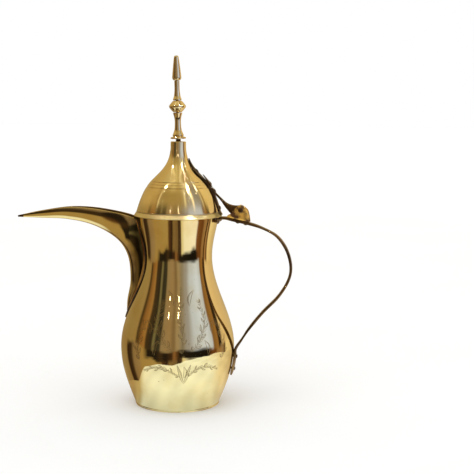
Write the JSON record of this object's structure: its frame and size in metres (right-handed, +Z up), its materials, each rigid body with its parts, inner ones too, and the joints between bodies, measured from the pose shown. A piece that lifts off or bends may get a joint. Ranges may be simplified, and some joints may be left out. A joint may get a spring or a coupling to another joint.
{
  "type": "dallah coffee pot",
  "caption": "Tall brass Arabic coffee pot with a beak spout, a strip handle and a domed lid on a hinge that stands on the handle.",
  "frame": {"origin": "middle of the flat base, on the pot's axis", "axes": "+Z up the pot's axis, -X towards the spout and +X towards the handle, +Y to the side"},
  "size_m": [0.2715, 0.1114, 0.34],
  "materials": {
    "polished_brass": "mirror polished",
    "satin_brass": "spun and lightly polished",
    "turned_brass": "turned, dull from handling",
    "tarnished_brass": "forged, darkened by tarnish"
  },
  "bodies": {
    "pot": {"lower_body": "polished_brass", "upper_body": "polished_brass", "base_plate": "polished_brass", "rim_wire": "satin_brass", "spout": "polished_brass", "handle": "tarnished_brass", "handle_saddle": "tarnished_brass", "hinge_bracket": "tarnished_brass", "hinge_pin": "tarnished_brass", "handle_rivet_upper": "tarnished_brass", "handle_rivet_lower": "tarnished_brass", "saddle_rivet_near": "tarnished_brass", "saddle_rivet_far": "tarnished_brass", "bracket_rivet_front": "tarnished_brass", "bracket_rivet_rear": "tarnished_brass"},
    "lid": {"lid": "satin_brass", "lid_collar": "satin_brass", "lid_strap": "tarnished_brass", "hinge_lever": "tarnished_brass", "thumb_tab": "tarnished_brass", "strap_rivet_upper": "tarnished_brass", "strap_rivet_lower": "tarnished_brass", "lever_rivet": "tarnished_brass", "thumb_rivet": "tarnished_brass", "finial_stud": "turned_brass", "finial_nut": "turned_brass", "finial_washer": "turned_brass", "finial_base": "turned_brass", "finial_bead": "turned_brass", "finial_spindle": "turned_brass", "finial_tip": "turned_brass"}
  },
  "joints": [
    {"name": "lid_hinge", "type": "hinge", "parent": "pot", "child": "lid", "pos_m": [0.0615, 0, 0.1926], "axis": [0, 1, 0], "range_deg": [0, 100]}
  ]
}
